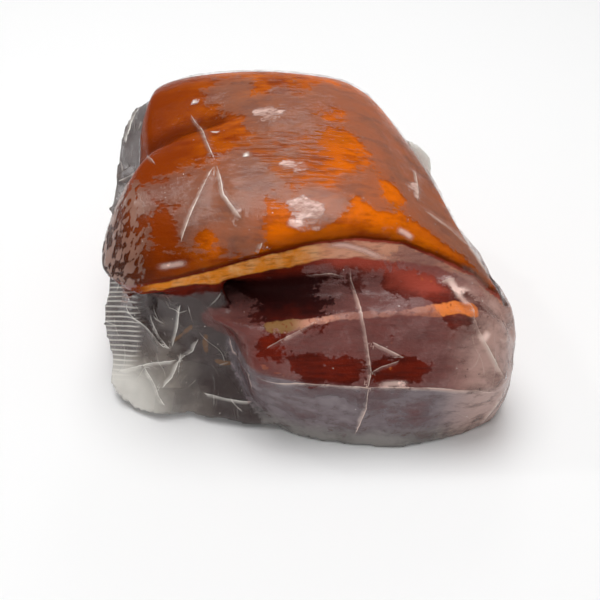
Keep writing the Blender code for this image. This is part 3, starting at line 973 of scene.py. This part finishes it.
# painted glints: three tiny white spots of light on the film over the rind
PAINTED_GLINTS = ((-0.0437, 0.0247, 0.0944), (-0.0331, -0.0068, 0.0981), (-0.0199, -0.0225, 0.0977))
PAINTED_GLINT_RADIUS = 0.0011
JUICE_WIDTH = (0.0022, 0.0002)


def spot_sum(spots, places):
    """What the soft spots add up to at each place."""
    total = np.zeros(len(places))
    for place, radius, strength in spots:
        total += strength * np.exp(-(((places - place) ** 2).sum(1)) / radius**2)
    return total


def patch_at(places, middle, size):
    """1 in an egg-shaped region, fading out round it."""
    return fade(np.linalg.norm((places - middle) / size, axis=1), 1.25, 0.75)


rind_veil = 0.18 + spot_sum(VEILS, at) + BACK_VEIL * fade(at[:, 1], 0.035, 0.060)
golden = fade(below, 0.001, 0.004) * fade(below, 0.013, 0.010) * fade(at[:, 0], 0.018, 0.006)
# the veil is thinned in the recess so that the painted shade on the meat shows
hollow = on_face * fade(at[:, 0], 0.020, 0.000) * fade(below, 0.014, 0.019) * fade(at[:, 2], 0.050, 0.054)
face_veil = FACE_VEIL - spot_sum(FACE_CLEAR, at) - 0.6 * golden - 0.6 * hollow
keep_number(film, "veil", rind_veil * (1 - on_face) + face_veil * on_face)
keep_number(film, "from_crease", nearest)
keep_number(film, "across_crease", across)
keep_number(film, "pull", pull)
# the corner in painted light, and the back right flap, turn pale
pale = fade(np.linalg.norm((at - PAINTED_LIGHT_CORNER) / (1, 1, 0.7), axis=1), 0.030, 0.010)
keep_number(film, "pale", np.maximum(pale, fade(at[:, 0], 0.030, 0.050) * fade(at[:, 1], 0.0, 0.02)))
stand_off = over_meat(moved)
standing = fade(stand_off - 0.0018 * on_face, 0.0014, 0.0030)
keep_number(film, "loose", np.maximum(standing, sheet))
# how far the film stands off the meat: loose film near the meat gets painted shade
keep_number(film, "far", fade(stand_off, 0.006, 0.042))
keep_number(film, "face", on_face)
keep_number(film, "over_toe", at[:, 2] - height_on(TOE, at[:, 0]))
keep_number(film, "brushed", patch_at(at, *BRUSHED))
keep_number(film, "streaked", patch_at(at, *STREAKED))
keep_number(film, "right_end", right_end)
keep_number(film, "hem", on_face * fade(at[:, 2], 0.014, 0.003))
painted_glint_gaps = [np.linalg.norm((at - painted_glint) / (1.5, 1, 1), axis=1) for painted_glint in PAINTED_GLINTS]
keep_number(film, "painted_glint", fade(np.min(painted_glint_gaps, axis=0), PAINTED_GLINT_RADIUS, PAINTED_GLINT_RADIUS / 2))
painted_gleams = np.clip(spot_sum(PAINTED_HIGHLIGHT_SPOTS, at), 0, 1)
keep_number(film, "painted_gleam", painted_gleams)
keep_number(film, "painted_shine", near_lines(at, PAINTED_HIGHLIGHT_LINES, PAINTED_HIGHLIGHT_WIDTH))
keep_number(film, "juice", near_lines(at, JUICE_LINES, JUICE_WIDTH))
keep_number(film, "ribbed", patch_at(at, *RIBBED))
keep_number(film, "rib_run", (0.643 * at[:, 1] + 0.766 * at[:, 2]) / RIB_PITCH * 2 * np.pi)
print("the film carries", len(film.data.attributes), "attributes")

# %% [markdown]
# ### The film's finish
#
# Film is almost nothing: where it is stuck down its alpha is close to zero. A veil, a crease and a
# loose edge each add to the alpha, with a pale mauve for the veils and a paler grey for creases and
# edges. Glass or transmission would be truer for a thick clear thing, but a film has no thickness to
# refract, and alpha survives the export. The finest folds, in four directions, and the ribs of the
# weld are thinner than a face, so the material draws them.

# %% Make the film
VEIL_TONE = tone(150, 106, 88)
PAINTED_HIGHLIGHT_TONE = tone(246, 210, 198)
FACE_TONE = tone(150, 99, 94)
TOE_TONE = tone(134, 120, 124)
HEM_TONE = tone(140, 134, 130)
END_TONE = tone(194, 158, 146)
# pale of folded film; on the crest of a crease it also serves as a painted highlight
CREASE_TONE = tone(226, 200, 186)
# painted shade for loose film close to the meat
NEAR_SHADE_TONE = tone(80, 66, 64)
LOOSE_TONE = tone(176, 165, 154)
# the near-white of the corner in painted light, and of marks on loose film
PALE_TONE = tone(238, 234, 226)
JUICE_TONE = tone(116, 74, 22)
# the white of the painted glints
PAINTED_GLINT_TONE = tone(255, 250, 242)
FOLDS = (
    # direction across the folds, spacing, width
    ((0.80, -0.35, 0.49), 0.0085, 0.00040),
    ((-0.55, -0.50, 0.67), 0.0105, 0.00035),
    ((0.25, 0.60, -0.76), 0.0125, 0.00040),
    ((0.97, 0.10, -0.20), 0.0140, 0.00035),
)


def film_finish():
    finish = Finish("clear_film")
    ragged = finish.noise(0.0065, detail=7, roughness=0.66)
    fine = finish.noise(0.0014, detail=3, shift=0.2)
    bulge = finish.noise(0.012, detail=3, roughness=0.5, shift=0.5)
    broken = finish.noise(0.0024, detail=3, shift=0.9)
    stripes = finish.noise(0.0010, detail=3, roughness=0.6, stretch=(11, 1, 1))
    streaks = finish.noise(0.0015, detail=2, roughness=0.5, stretch=(1, 3.0, 3.0), turn=(0, 0.45, 0))
    facet = finish.cells(0.020)
    cloud = finish.noise(0.009, detail=6, roughness=0.7, stretch=(1.8, 1, 1), shift=1.3)
    wisps = finish.noise(0.0032, detail=5, roughness=0.65, stretch=(4.5, 1.5, 1),
                         turn=(0, 0.15, 0.35), shift=1.7)
    # painted glints: tiny white specks all over the film and at the three listed spots
    painted_sparkle = (finish.noise(0.0011, detail=1, shift=2.1).rising(0.80, 0.82) + finish.number("painted_glint")).clamped()
    veil = finish.number("veil")
    face = finish.number("face")
    toe = face * finish.number("over_toe").rising(0.0005, -0.0005)
    loose = finish.number("loose")
    right_end = finish.number("right_end")
    # painted highlights: soft spots and thin lines of light, laid into the film's alpha and colour
    painted_gleam = (finish.number("painted_gleam") + (ragged - 0.5) * 1.3).rising(0.40, 0.60) * wisps.rising(0.30, 0.72)
    painted_shine = finish.number("painted_shine")
    folds = sum(finish.folds(*row) for row in FOLDS)
    across = finish.number("across_crease") + (broken - 0.5) * 0.0005
    off = across.math("ABSOLUTE", across)
    near = finish.number("from_crease").rising(0.0022, 0.0014) * finish.number("pull").rising(0.05, 0.60)
    # the crest of a crease: pale folded film with a painted highlight along it
    line = off.rising(0.00026, 0.00004) * near * (bulge.rising(0.38, 0.60) * 0.8 + 0.2)
    slope = across - finish.number("pull") * 0.0020
    pleat = across.rising(-0.00015, 0.00015) * slope.rising(0.0, -0.0018) * near * cloud.rising(0.25, 0.60)
    run = finish.number("rib_run")
    ribs = run.math("SINE", run).rising(0.1, 0.9) * finish.number("ribbed")
    fold = (folds * (loose * 0.8 + right_end * 0.3)).clamped()
    field = veil + (ragged - 0.5) * 1.5 + (fine - 0.5) * 0.4
    field = field - (stripes - 0.5) * 0.9 * (1 - face)
    field = field - finish.number("brushed") * (stripes - 0.42) * 4.0
    field = field + finish.number("streaked") * (streaks - 0.44) * 5.0
    patch = field.rising(0.44, 0.50)
    haze = patch * (0.38 + (cloud - 0.5) * (face * 0.5 + 0.4) + finish.number("streaked") * 0.40)
    haze = haze + veil.rising(0.2, 1.1) * 0.12 + finish.number("streaked") * 0.05 + painted_gleam * 0.5 + painted_shine * 0.60
    haze = haze + toe * (0.04 + cloud.rising(0.36, 0.62) * 0.26 + wisps.rising(0.55, 0.70) * 0.12)
    haze = haze + finish.number("hem") * 0.10 + right_end * (0.10 + cloud.rising(0.35, 0.62) * 0.34)
    far = finish.number("far")
    # loose film is more opaque near the meat, part of its painted shade, and at the painted light of the
    # corner
    wrinkled = 0.66 - far * 0.26 + (facet - 0.5) * 0.15 + (bulge - 0.5) * 0.4 + finish.number("pale") * 0.3
    marks = line * 0.40 + pleat * 0.36 + ribs * 0.30 + fold * 0.28 + painted_sparkle * 0.8
    juice = (finish.number("juice") + (ragged - 0.5) * 1.6).rising(0.35, 0.95)
    alpha = 0.015 + haze * (1 - loose) + loose * wrinkled + marks + juice * 0.30
    colour = finish.mix(VEIL_TONE, FACE_TONE, face)
    colour = finish.mix(colour, TOE_TONE, toe)
    colour = finish.mix(colour, HEM_TONE, finish.number("hem"))
    colour = finish.mix(colour, END_TONE, right_end * 0.8)
    # the painted highlights take a pale pink
    colour = finish.mix(colour, PAINTED_HIGHLIGHT_TONE, (painted_gleam + painted_shine).clamped())
    # painted shade: loose film is dark near the meat and paler away from it, with random variation
    shade_falloff_and_mottle = far * 1.3 - 0.12 + (bulge - 0.5) * 1.0 + (cloud - 0.5) * 1.2 + (facet - 0.5) * 0.3
    flap = finish.mix(NEAR_SHADE_TONE, LOOSE_TONE, shade_falloff_and_mottle.clamped())
    # painted light: the corner on the table is nearly white
    flap = finish.mix(flap, PALE_TONE, finish.number("pale"))
    flap = finish.mix(flap, JUICE_TONE, juice * 0.65)
    flap = finish.mix(flap, END_TONE, right_end * (0.35 + cloud * 0.8))
    colour = finish.mix(colour, flap, loose)
    marked = finish.mix(CREASE_TONE, PALE_TONE, loose)
    colour = finish.mix(colour, marked, (line + pleat * 0.5 + ribs * 0.7 + fold * 0.7).clamped())
    # painted glints turn the film white
    colour = finish.mix(colour, PAINTED_GLINT_TONE, painted_sparkle)
    relief = finish.bumps((bulge, 0.0012), (facet, 0.0008), (wisps, 0.0003), (fold, 0.0004), (fine, 0.00006))
    finish.set(Base_Color=colour, Alpha=alpha.clamped(), Roughness=0.12 + patch * 0.10, Normal=relief)
    finish.set(Specular_IOR_Level=0.5)
    return finish.material


film.data.materials.append(film_finish())
film.data.shade_smooth()
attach(film, "root")
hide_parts("sealed_knuckle")
print("the film lies on", meat.name)
